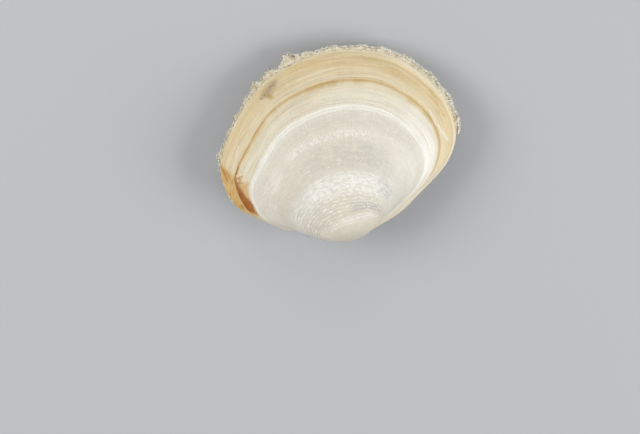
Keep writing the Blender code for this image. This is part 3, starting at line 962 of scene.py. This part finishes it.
class EdgeTrack:
    """Places along the valve's edge by their distance from the beak."""

    def __init__(self):
        self.loop = edge_loop(4000)
        self.inward = inward_normals(self.loop)
        steps = np.linalg.norm(np.diff(self.loop, axis=0), axis=1)
        self.length = np.concatenate([[0], np.cumsum(steps)])

    def at(self, along):
        k = np.searchsorted(self.length, along).clip(0, len(self.loop) - 1)
        point, inward = self.loop[k], self.inward[k]
        run = -((point[:, 0] + BACKWARD_LEAN) * inward[:, 0] + (point[:, 1] - BEAK_RISE) * inward[:, 1])
        return point, inward, point[:, 1] / SPIRAL_RATE / run


def crust_reach(along):
    reach = np.full(np.shape(along), CRUST_REACH)
    for place, height, half_width in LUMPS:
        reach = reach + height * np.exp(-((along - place) / half_width) ** 2)
    return reach


def ball_points():
    """The corners and faces of a 20-faced ball."""
    golden = (1 + math.sqrt(5)) / 2
    corners = []
    for a in (-1, 1):
        for b in (-golden, golden):
            corners += [(0, a, b), (a, b, 0), (b, 0, a)]
    corners = np.array(corners) / math.sqrt(1 + golden ** 2)
    faces = []
    for i in range(12):
        for j in range(i + 1, 12):
            for k in range(j + 1, 12):
                sides = [np.linalg.norm(corners[p] - corners[q]) for p, q in ((i, j), (j, k), (i, k))]
                if max(sides) < 1.1:
                    turned = np.dot(np.cross(corners[j] - corners[i], corners[k] - corners[i]), corners[i])
                    faces.append((i, j, k) if turned > 0 else (i, k, j))
    return corners, np.array(faces)


def random_turns(rng, count):
    """Random rotations as matrices."""
    q = rng.normal(size=(count, 4))
    q /= np.linalg.norm(q, axis=1)[:, None]
    w, x, y, z = q.T
    rows = (
        (1 - 2 * (y * y + z * z), 2 * (x * y - z * w), 2 * (x * z + y * w)),
        (2 * (x * y + z * w), 1 - 2 * (x * x + z * z), 2 * (y * z - x * w)),
        (2 * (x * z - y * w), 2 * (y * z + x * w), 1 - 2 * (x * x + y * y)),
    )
    return np.ascontiguousarray(np.array(rows).transpose(2, 0, 1))


def grain_bodies(rng, centres, sizes, kinds):
    """Angular grains round the given centres, in shell mm, as one set of points and triangles."""
    ball, faces = ball_points()
    count = len(centres)
    shape = ball[None] * rng.uniform(0.72, 1.22, (count, len(ball), 1))
    shape = shape * rng.uniform(0.62, 1.15, (count, 1, 3))
    shape = np.einsum('nij,nkj->nki', random_turns(rng, count), shape)
    places = centres[:, None] + shape * sizes[:, None, None]
    corners = faces[None] + (np.arange(count) * len(ball))[:, None, None]
    shade = rng.uniform(0, 1, count)
    layer = np.stack([kinds, shade], axis=1)
    layer = np.repeat(layer, len(faces) * 3, axis=0)
    return places.reshape(-1, 3), corners.reshape(-1, 3), layer


def crust_cover(along):
    """How much of the crust's reach the sand fills: thin between the clumps near the hind end."""
    share = (along - CRUST_START) / (CRUST_END - CRUST_START)
    uneven = 0.8 + 0.2 * rough_line(41, 26)(share) + 0.12 * rough_line(42, 90)(share)
    bare = 0.45 * smooth_step((20.4 - along) / 1.5)
    lump = np.clip((crust_reach(along) - CRUST_REACH) / 0.12, 0, 1)
    return np.clip(uneven - bare * (1 - lump) + 0.15 * lump, 0.25, 1.0)


def scatter_on_crust(rng, track, count, start, end, spread, depth_share=1.0):
    """Places on and in the crust's free side, in shell mm."""
    along = rng.uniform(start, end, count)
    point, inward, slope = track.at(along)
    reach = crust_reach(along) * spread * crust_cover(along)
    size = reach / CRUST_REACH
    depth = CRUST_DEPTH * (0.75 + 0.25 * size) * depth_share
    angle = rng.uniform(-0.25, 1.0, count) * math.pi * 0.75
    shell = rng.uniform(0.35, 1.0, count) ** 0.5
    out = 0.02 + np.cos(angle - 0.25) * reach * shell
    up = 0.1 - np.sin(np.maximum(angle, 0)) * depth * shell - 0.02 * (angle < 0)
    under = np.maximum(-out, 0)
    out = np.maximum(out, -0.25)
    up = np.minimum(up, np.where(out < 0.05, -slope * under - 0.1, up))
    flat = point - inward * out[:, None]
    return np.column_stack([flat, up]), along


def scatter_on_rim(rng, track, count, start, end):
    """Places on the left valve's rim, in shell mm."""
    along = rng.uniform(start, end, count)
    point, inward, slope = track.at(along)
    back = 0.13 * rng.uniform(0.0, 1.0, count) ** 1.5 / np.maximum(slope, 1.0)
    flat = point + inward * back[:, None]
    up = SEAM / 2 + slope * back + 0.02
    return np.column_stack([flat, up]), along


def scatter_grains(rng):
    """The centre, the place round the edge and the size of each grain, group after group."""
    track = EdgeTrack()
    strays = tuple((count, start, start + STRAY_SPREAD, *STRAY_SIZES) for start, count in STRAY_GRAINS)
    rim_groups = RIM_GROUPS + strays
    made = [scatter_on_crust(rng, track, *group[:4]) for group in CRUST_GROUPS]
    made += [scatter_on_rim(rng, track, *group[:3]) for group in rim_groups]
    sizes = []
    for (_places, along), group in zip(made, CRUST_GROUPS + rim_groups):
        smallest, largest = group[-2:]
        sizes.append(smallest + (largest - smallest) * rng.uniform(0, 1, len(along)) ** FEW_LARGE)
    centres = np.concatenate([places for places, _along in made])
    along = np.concatenate([along for _places, along in made])
    return centres, along, np.concatenate(sizes)


def make_sand(material):
    """All the single grains stuck to the edge."""
    rng = np.random.RandomState(GRAIN_SEED)
    centres, along, sizes = scatter_grains(rng)
    tan = smooth_step((TAN_SAND_END - along) / TAN_SAND_FADE)
    kinds = rng.beta(1.0, 2.4, len(along)) + 0.25 * tan * rng.uniform(0, 1, len(along))
    places, corners, layer = grain_bodies(rng, centres, sizes, np.clip(kinds, 0, 1))
    world = place_in_part(places, 1)
    sand = make_mesh("sand_grains", world, corners, {"grain": layer}, material, False)
    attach(sand, "root")
    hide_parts("sand_crust")


def unit(vectors):
    return vectors / np.linalg.norm(vectors, axis=1)[:, None]


def bristle_points(rng, roots):
    """Four corners for each bristle: three round its root and one at its tip."""
    count = len(roots)
    outward = unit(roots - np.array(SHELL_MIDDLE))
    outward = unit(outward + rng.normal(size=(count, 3)) * BRISTLE_SPREAD)
    length = rng.uniform(0.12, 0.32, count)
    width = rng.uniform(0.014, 0.032, count)
    side = unit(np.cross(outward, rng.normal(size=(count, 3))))
    other = np.cross(outward, side)
    places = np.zeros((count, 4, 3))
    for k in range(3):
        angle = 2 * math.pi * k / 3
        places[:, k] = roots + (side * math.cos(angle) + other * math.sin(angle)) * width[:, None]
    places[:, 3] = roots + outward * length[:, None]
    return places.reshape(-1, 3)


def make_bristles(material):
    """Fine stiff fibres that stand out of the crust."""
    rng = np.random.RandomState(BRISTLE_SEED)
    track = EdgeTrack()
    roots = np.concatenate([scatter_on_crust(rng, track, *group)[0] for group in BRISTLE_GROUPS])
    count = len(roots)
    world = place_in_part(bristle_points(rng, roots), 1)
    faces = np.array([(0, 1, 3), (1, 2, 3), (2, 0, 3), (0, 2, 1)])
    corners = (faces[None] + (np.arange(count) * 4)[:, None, None]).reshape(-1, 3)
    layer = np.stack([rng.uniform(0.0, 0.3, count), rng.uniform(0.4, 1.0, count)], axis=1)
    layer = np.repeat(layer, faces.size, axis=0)
    hairs = make_mesh("sand_bristles", world, corners, {"grain": layer}, material)
    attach(hairs, "root")


def slime_section(track, along):
    """How far out and how far up each corner of the strip's section is, all along it, in mm."""
    slope = track.at(along)[2]
    taper = np.minimum(1.0, 0.15 + np.minimum(along - along[0], along[-1] - along) / 1.5)
    share = (along - along[0]) / (along[-1] - along[0])
    full = 0.82 - 0.17 * smooth_step((along - 25.5) / 2.0)
    lumpy = 1 + 0.25 * rough_line(31, 190)(share)
    reach = crust_reach(along) * full * taper * lumpy * crust_cover(along)
    size = reach / CRUST_REACH
    depth = CRUST_DEPTH * (0.6 + 0.3 * size) * taper
    top = 0.07 + 0.03 * size
    drop = CRUST_TUCK * slope
    lap = 0.05 + 0.04 * rough_line(33, 160)(share)
    on_rim = SEAM / 2 + slope * lap + 0.016
    return (
        (0.012, 0.034), (-lap, on_rim), (-0.3 * lap, on_rim + 0.02),
        (0.45 * reach + 0.02, top), (0.8 * reach, 0.8 * top), (reach, -0.05 * depth),
        (0.95 * reach, -0.4 * depth), (0.7 * reach, -0.75 * depth), (0.3 * reach, -depth),
        (-0.12 * taper, -0.95 * depth - 0.3 * drop), (-0.25 * taper, -0.9 * drop - 0.22),
        (-0.22 * taper, -0.75 * drop - 0.13), (-0.1, -0.35 * drop - 0.08), (0.015, -0.03),
    )


def make_slime(material):
    """The silt and slime that hold the grains, a lumpy strip that laps onto the valve's rim."""
    rng = np.random.RandomState(SLIME_SEED)
    along = np.linspace(CRUST_START + 0.2, CRUST_END - 0.1, SLIME_STATIONS)
    track = EdgeTrack()
    point, inward, _slope = track.at(along)
    sides = []
    for out, up in slime_section(track, along):
        flat = point - inward * np.broadcast_to(out, along.shape)[:, None]
        sides.append(np.concatenate([flat, np.broadcast_to(up, along.shape)[:, None]], axis=1))
    rings = np.stack(sides, axis=1)
    free = np.zeros(len(sides))
    free[SLIME_FREE_SIDE] = 1.0
    rings += rng.normal(size=rings.shape) * SLIME_ROUGHNESS * free[None, :, None]
    slime = make_tube("slime_and_silt", rings, material)
    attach(slime, "root")


# The stage

def make_camera():
    """Looks square at the plane between the valves, as the photograph does."""
    turn_by = math.radians(SHELL_TURN)
    right = np.array((math.cos(turn_by), -math.sin(turn_by), 0.0))
    up = np.array((math.sin(turn_by), math.cos(turn_by), 0.0))
    across = (MIDDLE_PIXEL[0] - BEAK_PIXEL[0]) / PIXELS_PER_MM
    above = (BEAK_PIXEL[1] - MIDDLE_PIXEL[1]) / PIXELS_PER_MM
    axes = shell_axes()
    view = bpy.data.cameras.new("camera")
    view.sensor_width = SENSOR_WIDTH
    view.lens = SENSOR_WIDTH * CAMERA_DISTANCE * PIXELS_PER_MM / PHOTO_WIDTH
    view.clip_start = 0.01
    view.clip_end = 10.0
    camera = add_object("camera", view)
    facing = np.stack([axes @ right, axes @ up, axes[:, 2]], axis=1)
    eye = right * across + up * above + np.array((0.0, 0.0, CAMERA_DISTANCE))
    place = Vector(((eye @ axes.T + np.array(BEAK_PLACE)) * MM).tolist())
    camera.matrix_world = Matrix.Translation(place) @ Matrix(facing.tolist()).to_4x4()
    bpy.context.scene.camera = camera


def make_floor():
    half = FLOOR_SIZE / 2
    corners = [(-half, -half, 0), (half, -half, 0), (half, half, 0), (-half, half, 0)]
    mesh = bpy.data.meshes.new("floor")
    mesh.from_pydata(corners, [], [(0, 1, 2, 3)])
    floor = add_object("floor", mesh)
    n = Nodes("floor")
    n.surface(FLOOR_GREY, 0.9)
    n.shader.inputs["Specular IOR Level"].default_value = 0.1
    mesh.materials.append(n.material)


def add_light(name, place, power):
    lamp = bpy.data.lights.new(name, 'AREA')
    lamp.shape = 'SQUARE'
    lamp.size = SOFTBOX_SIZE
    lamp.energy = power
    light = add_object(name, lamp)
    light.location = place
    light.rotation_euler = (-Vector(place)).to_track_quat('-Z', 'Y').to_euler()


def make_lights():
    world = bpy.data.worlds.new("studio")
    world.use_nodes = True
    background = world.node_tree.nodes["Background"]
    background.inputs["Color"].default_value = (1.0, 1.0, 1.0, 1.0)
    background.inputs["Strength"].default_value = ROOM_LIGHT
    bpy.context.scene.world = world
    for name, place, power in SOFTBOXES:
        add_light(name, place, power)
    bpy.context.scene.view_settings.view_transform = 'Standard'


def build():
    left = make_valve("left_valve_shell", 1, 100, make_shell_material("left_shell", True))
    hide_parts("left_valve")
    right = make_valve("right_valve_shell", -1, 200, make_shell_material("right_shell", False))
    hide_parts("right_valve")
    make_ligament(make_ligament_material())
    grain_material = make_grain_material()
    make_sand(grain_material)
    make_bristles(grain_material)
    make_slime(make_slime_material())
    make_floor()
    make_lights()
    make_camera()


build()
